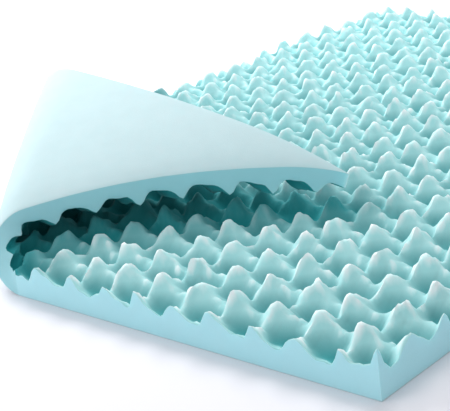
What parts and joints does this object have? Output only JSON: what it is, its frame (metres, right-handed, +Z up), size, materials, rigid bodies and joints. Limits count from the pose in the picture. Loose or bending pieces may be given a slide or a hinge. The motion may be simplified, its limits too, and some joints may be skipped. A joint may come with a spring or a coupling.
{
  "type": "convoluted foam mattress topper with a folded corner",
  "caption": "Flat foam mattress topper, smooth below and moulded into peaks and pits above, with its front left corner folded over.",
  "frame": {"origin": "middle of the underside of the slab, on the surface that it lies on", "axes": "+Z up, -Y the front edge beside the folded corner, +X the right-hand side, so that the length runs along Y"},
  "size_m": [1.372, 1.905, 0.2523],
  "materials": {
    "aqua_foam": "matt open-cell foam, pale aqua"
  },
  "bodies": {
    "root": {"foam_topper": "aqua_foam"}
  },
  "joints": []
}
